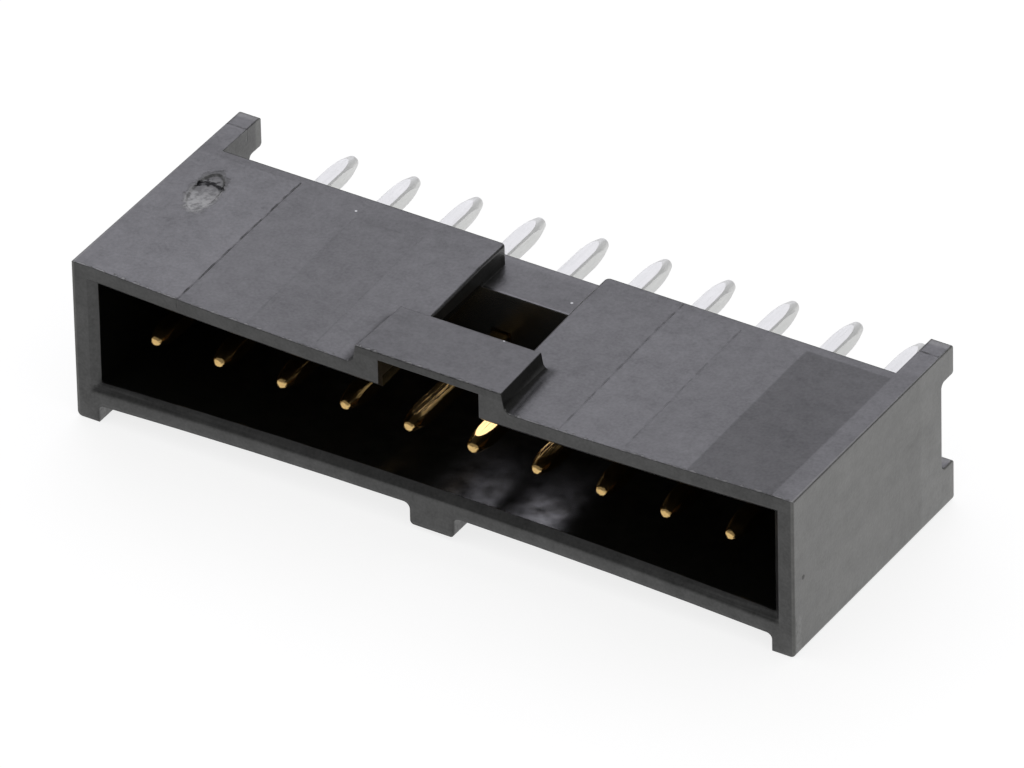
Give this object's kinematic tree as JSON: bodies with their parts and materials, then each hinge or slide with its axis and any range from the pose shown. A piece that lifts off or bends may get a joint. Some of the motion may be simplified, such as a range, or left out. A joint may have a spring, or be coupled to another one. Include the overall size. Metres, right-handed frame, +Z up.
{
  "type": "shrouded pin header",
  "caption": "Shrouded single-row pin header lying on its side: a keyed black moulded housing with a latch window, end ears and straight square pins.",
  "frame": {"origin": "on the table under the middle of the header, half way from the open mouth to the tips of the tails", "axes": "+X along the row of pins, +Y from the open mouth towards the tails and the board, +Z up from the table to the keyed side"},
  "size_m": [0.0286, 0.0134, 0.0068],
  "materials": {
    "housing_plastic": "black moulded nylon with a fine satin grain",
    "pin_plating": "gold flash on the mating end, bright tin on the tail"
  },
  "bodies": {
    "root": {"housing": "housing_plastic", "pin_01": "pin_plating", "pin_02": "pin_plating", "pin_03": "pin_plating", "pin_04": "pin_plating", "pin_05": "pin_plating", "pin_06": "pin_plating", "pin_07": "pin_plating", "pin_08": "pin_plating", "pin_09": "pin_plating", "pin_10": "pin_plating"}
  },
  "joints": []
}
